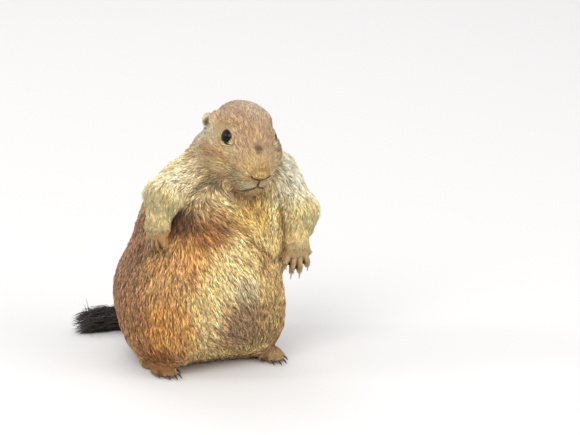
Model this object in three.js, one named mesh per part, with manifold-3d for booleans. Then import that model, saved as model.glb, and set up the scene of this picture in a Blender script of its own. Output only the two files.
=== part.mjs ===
// A fat prairie dog, life size, sitting up on its haunches with one paw on its flank.
// Millimetres, +Z up. The animal faces -Y, its left side is +X, and it sits on the floor z = 0.

import * as THREE from 'three';
import { mergeVertices } from 'three/addons/utils/BufferGeometryUtils.js';
import { surfaceNet } from 'three/addons/libs/surfaceNet.js';
import Module from 'manifold-3d';

const wasm = await Module();
wasm.setup();

// Driving dimensions. A place is [x, y, z], and radii reach out to the tips of the coat.

const GAP = 0.3;                  // left between two parts that meet
const FACET = 0.3;                // how far a flat facet may lie inside the round form it stands for
const COAT_BLEND = 22;            // how softly the coat runs from one form of the trunk to the next

const RUMP = { at: [2, 19, 48], radii: [59, 56, 52] };
const BELLY = { at: [-1, -13, 61], radii: [64, 61, 59] };
const RIBS = { at: [11, -5, 110], radii: [56, 56, 44] };
const SHOULDERS = { at: [17, -20, 140], radii: [38, 37, 29] };
const NECK = { at: [20, -22, 166], radii: [30, 28, 27] };
const NECK_CUT = { at: [20, -16, 151], lean: 26 };      // lean is in degrees, forwards
const WAIST_CUT = { at: [2, 0, 98], lean: 8 };

const EYES_AT = [21.5, -54.1, 188.6];   // midpoint of the eyes: the origin of the head's own frame
const HEAD_TURN = { pitch: 18.1, yaw: -4, roll: 6.3 };
const NAPE = { at: [0, 21, -13], radii: [38, 31, 37], blend: 16 };
const EYE = {
  radius: 6.6, at: [17, -0.8, 0.3], facing: [0.86, -0.47, 0.2],
  slit: 6.4, open: 5.3, tilt: 34,   // half the opening's length and height, and its slope in degrees
  narrow: 0.35,                     // how much the opening narrows to its front corner
};
const LID = { upper: 1.5, lower: 1.1 };
const EAR = { at: [22, 26.5, -4], long: 9, wide: 7, thick: 3, cup: 1.1, turn: [14, 12, -32] };
const NOSE = { at: [0, -34, -16.5], sunk: 3.2, radii: [6.6, 4.4, 5.2] };
const NOSTRIL = 1;
const MOUTH = { line: 0.75, lip: 1.5 };

const RIGHT_ARM = {
  shoulder: [-16, -17, 146], elbow: [-44, -34, 142.5], wrist: [-50, -37, 122],
  radii: [20, 12.5, 9],
  hand: { along: [-0.03, 0.05, -1], back: [-0.86, -0.45, 0.2], thumb: 1, spread: 1.2 },
  socket: { at: [-11, -10, 143], radii: [26, 28, 28] },
};
const LEFT_ARM = {
  shoulder: [56, -24, 146], elbow: [70.5, -41, 119], wrist: [63.5, -52, 97],
  radii: [21, 14.5, 9.4],
  hand: { along: [-0.1, -0.2, -1], back: [-0.2, -0.93, 0.3], thumb: -1, spread: 1.4 },
  socket: { at: [51, -19, 142], radii: [27, 30, 31] },
};
const PALM = { wide: 9.6, long: 9.5, thick: 5, ahead: 6.5 };
const FINGERS = [
  { aside: 7, root: 8, reach: 9.5, claw: 7 },
  { aside: 2.4, root: 10, reach: 12, claw: 8.5 },
  { aside: -2.4, root: 10, reach: 12.5, claw: 8.5 },
  { aside: -7, root: 8.5, reach: 10, claw: 7.5 },
];
const THUMB = { aside: 8, root: 3.5, reach: 4.5, claw: 3.2 };
const FINGER = { radius: 2.5, knuckle: 1.8, drop: 3.2 };

const RIGHT_THIGH = {
  at: [-40, -22, 36], radii: [27, 44, 36],
  socket: { at: [-52, -20, 34], radii: [34, 44, 40] },
};
const LEFT_THIGH = {
  at: [36, -18, 36], radii: [27, 41, 35],
  socket: { at: [50, -16, 34], radii: [34, 42, 40] },
};
const THIGH_BLEND = 14;
const RIGHT_FOOT = { heel: [-50, -12, 0], turn: 4 };
const LEFT_FOOT = { heel: [48, -12, 0], turn: -4 };
const FOOT = { long: 40, heel: 8, ball: 9.5, tall: 6.5 };
const TOES = [
  { aside: 7.6, root: 25, reach: 11, claw: 6 },
  { aside: 4, root: 31, reach: 13, claw: 7 },
  { aside: 0, root: 33, reach: 13.5, claw: 7 },
  { aside: -4, root: 31, reach: 12.5, claw: 7 },
  { aside: -7.8, root: 24, reach: 10, claw: 6 },
];
const TOE = { radius: 2.9, knuckle: 1.6, drop: 0 };
const TOE_SPREAD = 1.25;

const TAIL_ROUTE = [[2, 57, 24], [-6, 82, 14], [-20, 93, 10.5], [-44, 98, 9]];
const TAIL = { root: 9, tip: 6 };
const LOCKS = { rows: 4, around: 4, long: 30, wide: 4.6, thick: 1.8, first: 0.3, last: 0.98 };

const v = (x, y, z) => new THREE.Vector3(x, y, z);
const at = (place) => new THREE.Vector3(...place);
const rad = THREE.MathUtils.degToRad;
const lerp = THREE.MathUtils.lerp;
const smooth = (x) => THREE.MathUtils.smoothstep(x, 0, 1);
const pair = (make) => [-1, 1].flatMap(make);
const mirrored = ([x, y, z], side) => [side * x, y, z];

// Fields: each gives about how far a point lies outside a soft form, and is negative inside it.

const local = new THREE.Vector3();

function ellipsoid(centre, radii) {
  const [rx, ry, rz] = radii;
  return (p) => {
    local.copy(p).sub(centre);
    const near = Math.hypot(local.x / rx, local.y / ry, local.z / rz);
    const slope = Math.hypot(local.x / rx ** 2, local.y / ry ** 2, local.z / rz ** 2);
    return slope < 1e-9 ? -Math.min(...radii) : near * (near - 1) / slope;
  };
}

const form = ({ at: place, radii }) => ellipsoid(at(place), radii);

function cone(a, b, ra, rb) {
  const along = b.clone().sub(a);
  return (p) => {
    local.copy(p).sub(a);
    const t = THREE.MathUtils.clamp(local.dot(along) / along.lengthSq(), 0, 1);
    return local.addScaledVector(along, -t).length() - lerp(ra, rb, t);
  };
}

function softMin(a, b, k) {
  if (k < 1e-6) return Math.min(a, b);
  const h = Math.max(k - Math.abs(a - b), 0) / k;
  return Math.min(a, b) - h * h * k / 4;
}

const blend = (k, ...fields) => (p) => fields.map((f) => f(p)).reduce((a, b) => softMin(a, b, k));
const grown = (field, by) => (p) => field(p) - by;

function moved(field, frame) {
  const inverse = frame.clone().invert();
  const q = new THREE.Vector3();
  return (p) => field(q.copy(p).applyMatrix4(inverse));
}

// A limb melts into a body inside a region, and meets it in a crease outside it.
const rooted = (limb, body, region, k) => (p) =>
  softMin(limb(p), body(p), k * smooth(-region(p) / k));

function slopeOf(field, p, step) {
  const here = field(p);
  const along = (axis) => field(p.clone().setComponent(axis, p.getComponent(axis) + step)) - here;
  return v(along(0), along(1), along(2)).divideScalar(step);
}

// Moves a point along the field's slope until it lies that far outside the form.
function settled(field, place, height) {
  const p = at(place);
  for (let pass = 0; pass < 6; pass++) {
    const slope = slopeOf(field, p, 0.05);
    p.addScaledVector(slope, (height - field(p)) / Math.max(slope.lengthSq(), 0.1));
  }
  return p;
}

// Solids from fields, shapes and geometries

function solid(geometry, frame = new THREE.Matrix4()) {
  const bare = geometry.clone().applyMatrix4(frame);
  bare.deleteAttribute('normal');
  bare.deleteAttribute('uv');
  const merged = mergeVertices(bare, 1e-4);
  const make = (triVerts) => new wasm.Manifold(new wasm.Mesh({
    numProp: 3, vertProperties: merged.attributes.position.array, triVerts }));
  const triVerts = new Uint32Array(merged.index.array);
  const made = make(triVerts);
  if (made.volume() > 0) return made;
  for (let i = 0; i < triVerts.length; i += 3) {
    [triVerts[i + 1], triVerts[i + 2]] = [triVerts[i + 2], triVerts[i + 1]];
  }
  return make(triVerts);
}

function wrap(field, low, high, cell) {
  const p = new THREE.Vector3();
  const inside = new THREE.Box3(low.clone().addScalar(cell), high.clone().subScalar(cell));
  const closed = (x, y, z) => {
    p.set(x, y, z);
    const beyond = Math.max(inside.min.x - x, x - inside.max.x, inside.min.y - y, y - inside.max.y,
      inside.min.z - z, z - inside.max.z);
    return Math.max(field(p), beyond);
  };
  const dims = high.clone().sub(low).toArray().map((length) => Math.ceil(length / cell) + 1);
  const top = low.toArray().map((l, i) => l + dims[i] * cell);
  const { positions, cells } = surfaceNet(dims, closed, [low.toArray(), top]);
  const point = new THREE.Vector3();
  for (const position of positions) {
    point.fromArray(position);
    for (let pass = 0; pass < 3; pass++) {
      const slope = slopeOf((q) => closed(q.x, q.y, q.z), point, cell / 50);
      const push = closed(...point) / Math.max(slope.lengthSq(), 0.1);
      point.addScaledVector(slope, -THREE.MathUtils.clamp(push, -cell / 3, cell / 3));
    }
    point.toArray(position);
  }
  return solid(new THREE.BufferGeometry()
    .setAttribute('position', new THREE.Float32BufferAttribute(positions.flat(), 3))
    .setIndex(cells.flat()));
}

const join = (...solids) => solids.reduce((a, b) => a.add(b));
const cut = (body, ...tools) => tools.reduce((a, b) => a.subtract(b), body);
const largest = (body) => body.decompose().reduce((a, b) => (b.volume() > a.volume() ? b : a));

function ball({ at: place, radii, turn = [0, 0, 0], more = 0, sides = 12, rings = 8, frame }) {
  const geometry = new THREE.SphereGeometry(1, sides, rings);
  const pose = new THREE.Matrix4().compose(
    at(place),
    new THREE.Quaternion().setFromEuler(new THREE.Euler(...turn.map(rad))),
    at(radii).addScalar(more));
  return solid(geometry.applyMatrix4(pose), frame);
}

// A thin slab across a part, tilted forwards and sideways: what it takes out parts the piece in two.
function slab(place, normal, wide) {
  const box = new THREE.BoxGeometry(wide, wide, GAP);
  const pose = new THREE.Matrix4().compose(
    place,
    new THREE.Quaternion().setFromUnitVectors(v(0, 0, 1), normal.clone().normalize()),
    v(1, 1, 1));
  return solid(box, pose);
}

const forwards = (degrees) => v(0, -Math.sin(rad(degrees)), Math.cos(rad(degrees)));

// A sphere drawn out along a route: a digit, claw, lock, lid or lip, or the groove for one.
// width and thick give its half widths along side and across it, for t from 0 to 1.
function drawn({ route, width, thick = width, side = v(1, 0, 0), sides = 8, steps = 8, more = 0, frame }) {
  const curve = new THREE.CatmullRomCurve3(route, false, 'centripetal');
  const geometry = new THREE.SphereGeometry(1, sides, steps);
  const points = geometry.attributes.position;
  for (let i = 0; i < points.count; i++) {
    const t = Math.acos(THREE.MathUtils.clamp(-points.getY(i), -1, 1)) / Math.PI;
    const ring = Math.hypot(points.getX(i), points.getZ(i)) || 1;
    const along = curve.getTangentAt(t);
    const across = new THREE.Vector3().crossVectors(along, side).normalize();
    const flat = new THREE.Vector3().crossVectors(across, along).normalize();
    const end = Math.sqrt(Math.max(0, 1 - (2 * t - 1) ** 6));
    const out = curve.getPointAt(t)
      .addScaledVector(along, (2 * t - 1) * more)
      .addScaledVector(flat, points.getX(i) / ring * (width(t) + more) * end)
      .addScaledVector(across, points.getZ(i) / ring * (thick(t) + more) * end);
    points.setXYZ(i, out.x, out.y, out.z);
  }
  return solid(geometry, frame);
}

const taper = (from, to) => (t) => lerp(from, to, t);

// The frame of a paw: x towards the first digit, y along the digits, z out of its back.
function pawFrame(place, along, back, handed) {
  const y = along.clone().normalize();
  const z = back.clone().addScaledVector(y, -back.dot(y)).normalize();
  const x = new THREE.Vector3().crossVectors(y, z).multiplyScalar(handed);
  const frame = new THREE.Matrix4().makeBasis(x, y, z);
  return frame.setPosition(place);
}

// A digit arches from its root in the paw to its tip, and its claw curves on down from there.
function digit({ aside, root, reach, claw }, { radius, knuckle, drop }, spread, level, frame) {
  const wide = aside * spread;
  const reached = root + reach;
  const fleshy = (more) => drawn({
    route: [v(aside * 0.8, root - 4, level), v(aside, root + reach * 0.3, level + knuckle),
      v(lerp(aside, wide, 0.6), root + reach * 0.7, level + knuckle * 0.6),
      v(wide, reached, level - drop)],
    width: taper(radius, radius * 0.82), sides: 6, steps: 6, more, frame });
  const horny = (more) => drawn({
    route: [v(wide, reached - 2.2, level - drop + 0.6), v(wide * 1.02, reached + claw * 0.45, level - drop),
      v(wide * 1.03, reached + claw, level - drop - claw * 0.3)],
    width: taper(1.15, 0.4), thick: taper(1.3, 0.4), sides: 5, steps: 4, more, frame });
  return { flesh: fleshy(0), fleshGrown: fleshy(GAP), claw: horny(0), clawGrown: horny(GAP) };
}

// The trunk, with the thighs melted into it

const trunkField = blend(THIGH_BLEND,
  blend(COAT_BLEND, ...[RUMP, BELLY, RIBS, SHOULDERS, NECK].map(form)),
  form(RIGHT_THIGH), form(LEFT_THIGH));
const TRUNK_CELL = 12.4;
const trunkLow = v(-85, -95, -20);
const trunkHigh = v(95, 105, 215);
const trunkSolid = wrap(trunkField, trunkLow, trunkHigh, TRUNK_CELL);
const underFloor = solid(new THREE.BoxGeometry(400, 400, 60), new THREE.Matrix4().setPosition(0, 0, -30));

// A limb melts into the trunk inside a region, where it takes its root as a plug, and presses a
// trough into the rest of the trunk where it lies against it.
function limb({ field, region, k, low, high, cell, frame = new THREE.Matrix4() }) {
  const melted = wrap(rooted(field, trunkField, moved(form(region), frame), k), low, high, cell);
  return {
    flesh: join(wrap(field, low, high, cell), melted.intersect(ball({ ...region, frame }))),
    trough: wrap(grown(field, GAP + FACET / 2), low, high, cell),
    socket: ball({ ...region, more: GAP, frame }),
  };
}

// The head, in its own frame: the midpoint of the eyes is the origin, and it faces -Y too.

const headFrame = new THREE.Matrix4().compose(
  at(EYES_AT),
  new THREE.Quaternion().setFromEuler(
    new THREE.Euler(rad(HEAD_TURN.pitch), rad(HEAD_TURN.roll), rad(HEAD_TURN.yaw), 'ZXY')),
  v(1, 1, 1));

const headLocal = blend(9,
  ellipsoid(v(0, 12, -1.5), [24.4, 27, 20.5]),
  ...pair((s) => [
    ellipsoid(v(s * 16, 9, -17), [17, 20, 14]),
    ellipsoid(v(s * 14, 8, -25), [15, 20, 14.5]),
    ellipsoid(v(s * 7.5, -20.5, -21), [9, 10, 8.6])]),
  ellipsoid(v(0, 8, -22), [20, 22, 14]),
  cone(v(0, -4, 2), v(0, -22.5, -12), 13, 9.5),
  ellipsoid(v(0, -11, -15), [17, 16, 12]),
  ellipsoid(v(0, -23, -14.5), [10.5, 9.8, 8.2]),
  ellipsoid(v(0, -17, -34.5), [11.5, 12.5, 9]));
const onHead = (height, ...places) => places.map((place) => settled(headLocal, place, height));

function eyeFrame(side) {
  const out = at(mirrored(EYE.facing, side)).normalize();
  const up = v(0, 0, 1).addScaledVector(out, -out.z).normalize();
  const ahead = new THREE.Vector3().crossVectors(up, out).multiplyScalar(side);
  const frame = new THREE.Matrix4().makeBasis(ahead, up, out);
  return frame.setPosition(at(mirrored(EYE.at, side))).premultiply(headFrame);
}

// Each lid is an arc on the eyeball, from the inner corner to the outer one.
function lid(side, upper) {
  const reach = EYE.radius + 0.4;
  const tilt = rad(EYE.tilt);
  const route = [0, 0.25, 0.5, 0.75, 1].map((t) => {
    const ahead = Math.cos(Math.PI * t);
    const x = EYE.slit * ahead;
    const y = EYE.open * Math.sin(Math.PI * t) * (upper ? 1 : -1) * (1 - EYE.narrow * Math.max(0, ahead));
    const along = x * Math.cos(tilt) + y * Math.sin(tilt);
    const above = y * Math.cos(tilt) - x * Math.sin(tilt);
    const out = Math.sqrt(Math.max(reach ** 2 - along ** 2 - above ** 2, 1));
    return v(along, above, out);
  });
  const thick = upper ? LID.upper : LID.lower;
  return drawn({
    route, width: (t) => thick * (0.55 + 0.45 * Math.sin(Math.PI * t)),
    side: v(0, 0, 1), sides: 5, steps: 7, frame: eyeFrame(side) });
}

function eyeball(side, more) {
  const geometry = new THREE.SphereGeometry(EYE.radius + more, 14, 8).rotateX(Math.PI / 2);
  return solid(geometry, eyeFrame(side));
}

// An ear is a low round shell, cupped in front and open outwards.
function earFrame(side) {
  const turn = EAR.turn.map((angle, axis) => rad(axis === 0 ? angle : side * angle));
  return new THREE.Matrix4().compose(
    at(mirrored(EAR.at, side)),
    new THREE.Quaternion().setFromEuler(new THREE.Euler(...turn, 'ZYX')),
    v(1, 1, 1)).premultiply(headFrame);
}

const earBody = (side, more) => ball({
  at: [0, 0, 0], radii: [EAR.thick, EAR.wide, EAR.long], more, sides: 12, rings: 8, frame: earFrame(side) });
const earCup = (side) => ball({
  at: [side * EAR.thick * 0.75, -1.2, 0.4],
  radii: [EAR.thick - EAR.cup * 0.4, EAR.wide - EAR.cup * 1.6, EAR.long - EAR.cup * 1.8],
  sides: 10, rings: 7, frame: earFrame(side) });

const nose = (more) => ball({
  at: settled(headLocal, NOSE.at, -NOSE.sunk).toArray(), radii: NOSE.radii, more, sides: 10, rings: 7,
  frame: headFrame });
const nostril = (side) => drawn({
  route: onHead(0.5, [side * 0.6, -34, -21.4], [side * 4.4, -33, -19.8], [side * 7.8, -30, -17]),
  width: taper(NOSTRIL * 0.7, NOSTRIL), side: v(0, 0, 1), sides: 6, steps: 5, frame: headFrame });

const mouthLine = (side, height) => onHead(height,
  [0, -32.5, -29.5], [side * 5, -30.5, -30.5], [side * 10, -26, -33.5], [side * 13, -19, -36.5]);
const mouthGroove = (side) => drawn({
  route: mouthLine(side, 0.2), width: taper(MOUTH.line, MOUTH.line * 1.25), side: v(0, 0, 1),
  sides: 6, steps: 7, frame: headFrame });
const philtrum = drawn({
  route: onHead(0.1, [0, -33.5, -22], [0, -33, -25.5], [0, -32.5, -29.5]),
  width: () => MOUTH.line * 0.8, sides: 6, steps: 4, frame: headFrame });
const lowerLip = (side) => drawn({
  route: mouthLine(side, -0.4).map((p) => p.add(v(0, 0.6, -1.7))),
  width: taper(MOUTH.lip, MOUTH.lip * 0.6), side: v(0, 0, 1), sides: 6, steps: 6, frame: headFrame });
const upperLip = (side) => drawn({
  route: mouthLine(side, -0.5).slice(0, 3).map((p) => p.add(v(side * 0.9, 0.3, 1.8))),
  width: taper(MOUTH.lip, MOUTH.lip * 0.6), side: v(0, 0, 1), sides: 6, steps: 6, frame: headFrame });

const skull = limb({
  field: moved(headLocal, headFrame), region: NAPE, k: NAPE.blend, frame: headFrame,
  low: v(-30, -100, 130), high: v(80, 25, 225), cell: 5 });
const faced = join(skull.flesh, ...pair((s) => [lid(s, true), lid(s, false), lowerLip(s), upperLip(s)]));
const head = largest(cut(faced, nose(GAP), philtrum,
  ...pair((s) => [eyeball(s, GAP), earBody(s, GAP), nostril(s), mouthGroove(s)])));

// The arms: the palm is part of the arm's own field, and the fingers are fused to it.

function arm({ shoulder, elbow, wrist, radii, hand, socket: region }) {
  const frame = pawFrame(at(wrist), at(hand.along), at(hand.back), hand.thumb);
  const palm = moved(ellipsoid(v(0, PALM.ahead, 0), [PALM.wide, PALM.long, PALM.thick]), frame);
  const field = blend(9,
    cone(at(shoulder), at(elbow), radii[0], radii[1]),
    cone(at(elbow), at(wrist), radii[1], radii[2]),
    palm);
  const [a, b, c] = [shoulder, elbow, wrist].map(at);
  const box = new THREE.Box3().setFromPoints([a, b, c, v(0, 20, 0).applyMatrix4(frame)]);
  box.expandByScalar(radii[0] + 4).union(new THREE.Box3().setFromCenterAndSize(
    at(region.at), at(region.radii).multiplyScalar(2).addScalar(26)));
  const { flesh, trough, socket } = limb({
    field, region, k: 10, low: box.min, high: box.max, cell: 6.4 });
  const digits = [...FINGERS, THUMB].map((finger) => digit(finger, FINGER, hand.spread, 0, frame));
  const whole = cut(join(flesh, ...digits.map((d) => d.flesh)), skull.trough, skull.socket,
    ...digits.map((d) => d.clawGrown));
  const towards = (p, q) => q.clone().sub(p).normalize();
  const elbowSlab = slab(b, towards(a, b).add(towards(b, c)), radii[1] * 3.8);
  const wristSlab = slab(c.clone().addScaledVector(towards(c, b), 2), towards(b, c), radii[2] * 4.6);
  const pieces = cut(whole, elbowSlab, wristSlab).decompose();
  const nearest = (place) => pieces.reduce((p, q) => (distanceTo(q, place) < distanceTo(p, place) ? q : p));
  return {
    upper: nearest(a), fore: nearest(b.clone().lerp(c, 0.5)), paw: nearest(v(0, 12, 0).applyMatrix4(frame)),
    digits, trough, socket };
}

function distanceTo(piece, place) {
  const { min, max } = piece.boundingBox();
  return at(min).add(at(max)).multiplyScalar(0.5).distanceTo(place);
}

const rightArm = arm(RIGHT_ARM);
const leftArm = arm(LEFT_ARM);

// The hind legs: a thigh melts into the trunk behind, and the foot lies under it on the floor.

function foot({ heel, turn }, handed) {
  const along = v(Math.sin(rad(turn)), -Math.cos(rad(turn)), 0);
  const frame = pawFrame(at(heel), along, v(0, 0, 1), handed);
  const field = blend(6,
    ellipsoid(v(0, 6, FOOT.tall), [FOOT.heel, 11, FOOT.tall + 1]),
    ellipsoid(v(0, FOOT.long * 0.72, FOOT.tall * 0.8), [FOOT.ball, 14, FOOT.tall]));
  const sole = (more) => wrap(moved(grown(field, more), frame),
    at(heel).add(v(-18, -58, -8)), at(heel).add(v(18, 16, 22)), 5.8);
  const digits = TOES.map((toe) => digit(toe, TOE, TOE_SPREAD, TOE.radius, frame));
  return {
    flesh: cut(join(sole(0), ...digits.map((d) => d.flesh)), underFloor, ...digits.map((d) => d.clawGrown)),
    grown: join(sole(GAP + FACET / 2), ...digits.map((d) => d.fleshGrown)),
    digits,
  };
}

const rightFoot = foot(RIGHT_FOOT, 1);
const leftFoot = foot(LEFT_FOOT, -1);

const thigh = ({ socket }) => cut(trunkSolid.intersect(ball(socket)), underFloor);

// The tail: a core that thins to its tip, under overlapping flat locks.

const tailCurve = new THREE.CatmullRomCurve3(TAIL_ROUTE.map(at), false, 'centripetal');
const tailRadius = (t) => lerp(TAIL.root, TAIL.tip, t);
const tailCore = (more) => drawn({
  route: TAIL_ROUTE.map(at), width: tailRadius, side: v(0, 0, 1), sides: 8, steps: 9, more });

function lock(row, place) {
  const chance = THREE.MathUtils.seededRandom();
  const t = lerp(LOCKS.first, LOCKS.last, (row + chance * 0.4) / LOCKS.rows);
  const angle = (place + 0.5 * (row % 2) + (chance - 0.5) * 0.3) / LOCKS.around * 2 * Math.PI;
  const start = tailCurve.getPointAt(t);
  const along = tailCurve.getTangentAt(t);
  const side = new THREE.Vector3().crossVectors(along, v(0, 0, 1)).normalize();
  const above = new THREE.Vector3().crossVectors(side, along).normalize();
  const out = side.multiplyScalar(Math.cos(angle)).addScaledVector(above, Math.sin(angle));
  const long = LOCKS.long * (0.85 + 0.3 * chance);
  const point = (ahead, away) => start.clone()
    .addScaledVector(along, long * ahead)
    .addScaledVector(out, away * tailRadius(t));
  return drawn({
    route: [point(0, 0.3), point(0.4, 0.9), point(1, 0.75)],
    width: (s) => LOCKS.wide * Math.sqrt(1 - s ** 2) + 0.3, thick: (s) => LOCKS.thick * (1 - s) + 0.3,
    side: new THREE.Vector3().crossVectors(along, out), sides: 5, steps: 4 });
}

THREE.MathUtils.seededRandom(7);
const locks = [];
for (let row = 0; row < LOCKS.rows; row++) {
  for (let place = 0; place < LOCKS.around; place++) locks.push(lock(row, place));
}
const tailWhole = cut(join(tailCore(0), ...locks), underFloor);

// Parts, each cut clear of its neighbours

const paws = [rightArm, leftArm, rightFoot, leftFoot];
const hidden = paws.flatMap((paw) => paw.digits.map((d) => d.clawGrown));
const handsGrown = [rightArm, leftArm].flatMap((paw) => paw.digits.map((d) => d.fleshGrown));

const hips = [RIGHT_THIGH, LEFT_THIGH].map(({ socket }) => ball({ ...socket, more: GAP }));
const trunkCut = cut(trunkSolid, underFloor, tailCore(GAP), ...hips,
  ...[skull, rightArm, leftArm].flatMap(({ socket, trough }) => [socket, trough]),
  rightFoot.grown, leftFoot.grown, ...handsGrown, ...hidden);
const trunkPieces = cut(trunkCut,
  slab(at(NECK_CUT.at), forwards(NECK_CUT.lean), 300),
  slab(at(WAIST_CUT.at), forwards(WAIST_CUT.lean), 300))
  .decompose().sort((a, b) => b.volume() - a.volume()).slice(0, 3)
  .sort((a, b) => b.boundingBox().max[2] - a.boundingBox().max[2]);

const BROWN = 0xb58a5a;
const nodes = new Map();
nodes.set('head', [head, BROWN]);
nodes.set('neck', [trunkPieces[0], 0xc9a877]);
nodes.set('torso_upper', [trunkPieces[1], 0xbf9257]);
nodes.set('torso_lower', [trunkPieces[2], 0xa97f55]);
nodes.set('nose', [cut(nose(0), ...pair((s) => nostril(s))), 0x8a6a4c]);
nodes.set('tail', [tailWhole, 0x2a211c]);
for (const [name, made] of [['right', rightArm], ['left', leftArm]]) {
  nodes.set(`arm_${name}_upper`, [made.upper, 0xcbb083]);
  nodes.set(`arm_${name}_fore`, [made.fore, 0xc8924a]);
  nodes.set(`hand_${name}`, [made.paw, 0xb99066]);
}
for (const [name, leg, paw] of [['right', RIGHT_THIGH, rightFoot], ['left', LEFT_THIGH, leftFoot]]) {
  nodes.set(`thigh_${name}`, [largest(cut(thigh(leg), paw.grown)), 0xb9803f]);
  nodes.set(`foot_${name}`, [paw.flesh, 0xb8956c]);
}
for (const [name, side] of [['right', -1], ['left', 1]]) {
  nodes.set(`eye_${name}`, [eyeball(side, 0), 0x0c0a0a]);
  nodes.set(`ear_${name}`, [cut(earBody(side, 0), earCup(side)), 0xa88a68]);
}
const clawed = { hand_right: rightArm, hand_left: leftArm, foot_right: rightFoot, foot_left: leftFoot };
for (const [name, paw] of Object.entries(clawed)) {
  paw.digits.forEach((d, i) => nodes.set(`${name}_claw_${i + 1}`, [d.claw, 0x2c2622]));
}

const model = new THREE.Group();
for (const [name, [made, color]] of nodes) {
  const { vertProperties, triVerts, numProp } = made.getMesh();
  const geometry = new THREE.BufferGeometry()
    .setAttribute('position', new THREE.Float32BufferAttribute(vertProperties, numProp))
    .setIndex([...triVerts]);
  const shiny = name.startsWith('eye');
  const material = new THREE.MeshStandardMaterial({ color, roughness: shiny ? 0.1 : 0.85, metalness: 0 });
  const mesh = new THREE.Mesh(geometry, material);
  mesh.name = name;
  model.add(mesh);
}

// The origin is under the middle of the animal, on the floor.
const box = new THREE.Box3().setFromObject(model);
model.position.set(-(box.min.x + box.max.x) / 2, -(box.min.y + box.max.y) / 2, -box.min.z);

export default model;
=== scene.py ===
# A fat prairie dog, sitting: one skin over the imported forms, short fur in solid tufts, eyes, claws and whiskers.
# Blender works in metres. Sizes in the dictionaries are millimetres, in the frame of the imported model.
import math

import bmesh
import bpy
import numpy as np
from mathutils import Matrix, Vector
from mathutils.bvhtree import BVHTree
from mathutils.kdtree import KDTree


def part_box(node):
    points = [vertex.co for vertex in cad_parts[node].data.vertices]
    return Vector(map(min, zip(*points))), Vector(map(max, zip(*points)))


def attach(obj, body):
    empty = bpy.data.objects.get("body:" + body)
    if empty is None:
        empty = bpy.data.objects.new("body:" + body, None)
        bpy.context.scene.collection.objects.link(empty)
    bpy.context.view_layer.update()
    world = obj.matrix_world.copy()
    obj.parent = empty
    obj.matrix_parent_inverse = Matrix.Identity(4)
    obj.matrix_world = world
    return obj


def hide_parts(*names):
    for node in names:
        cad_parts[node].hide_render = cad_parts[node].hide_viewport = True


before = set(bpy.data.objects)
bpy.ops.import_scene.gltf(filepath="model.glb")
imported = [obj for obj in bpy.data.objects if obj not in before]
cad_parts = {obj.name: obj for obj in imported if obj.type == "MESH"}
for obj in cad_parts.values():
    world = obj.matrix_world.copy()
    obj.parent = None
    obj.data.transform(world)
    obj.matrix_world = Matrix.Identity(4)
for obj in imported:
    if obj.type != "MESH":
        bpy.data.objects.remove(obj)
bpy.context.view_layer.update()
mm = 0.001
rng = np.random.default_rng(11)
sides = {"right": -1, "left": 1}


# small helpers

def unit(rows):
    return rows / np.maximum(np.linalg.norm(rows, axis=-1, keepdims=True), 1e-12)


def ease(low, high, values):
    t = np.clip((values - low) / (high - low), 0, 1)
    return t * t * (3 - 2 * t)


def addObject(name, bm):
    mesh = bpy.data.meshes.new(name)
    bm.to_mesh(mesh)
    bm.free()
    made = bpy.data.objects.new(name, mesh)
    bpy.context.scene.collection.objects.link(made)
    return made


def shadeSmooth(obj):
    obj.data.polygons.foreach_set("use_smooth", [True] * len(obj.data.polygons))


# swaps the mesh for the one that the modifiers make
def finished(obj):
    made = bpy.data.meshes.new_from_object(obj.evaluated_get(bpy.context.evaluated_depsgraph_get()))
    obj.modifiers.clear()
    obj.data = made
    return obj


def pointsOf(mesh):
    rows = np.empty(len(mesh.vertices) * 3, np.float32)
    mesh.vertices.foreach_get("co", rows)
    return rows.reshape(-1, 3).astype(float)


def normalsOf(mesh):
    rows = np.empty(len(mesh.vertices) * 3, np.float32)
    mesh.vertex_normals.foreach_get("vector", rows)
    return rows.reshape(-1, 3).astype(float)


def setPoints(mesh, points):
    mesh.vertices.foreach_set("co", points.astype(np.float32).ravel())
    mesh.update()


def edgesOf(mesh):
    rows = np.empty(len(mesh.edges) * 2, np.int32)
    mesh.edges.foreach_get("vertices", rows)
    return rows.reshape(-1, 2)


def neighbourMean(values, edges, count):
    total = np.empty_like(values)
    for column in range(values.shape[1]):
        total[:, column] = (
            np.bincount(edges[:, 0], values[edges[:, 1], column], count)
            + np.bincount(edges[:, 1], values[edges[:, 0], column], count))
    links = np.bincount(edges.ravel(), minlength=count)
    return total / np.maximum(links, 1)[:, None]


def spread(values, edges, rounds):
    for _ in range(rounds):
        values = 0.4 * values + 0.6 * neighbourMean(values, edges, len(values))
    return values


# points on a smooth curve through the corners of a route
def alongRoute(route, steps):
    corners = [Vector(p) for p in route]
    places = []
    for i in range(steps):
        t = i / (steps - 1) * (len(corners) - 1)
        k = min(int(t), len(corners) - 2)
        before, a, b, after = (corners[max(0, min(len(corners) - 1, j))] for j in (k - 1, k, k + 1, k + 2))
        u = t - k
        places.append(0.5 * ((2 * a) + (b - before) * u + (2 * before - 5 * a + 4 * b - after) * u * u
                             + (3 * a - before - 3 * b + after) * u ** 3))
    return places


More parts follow.
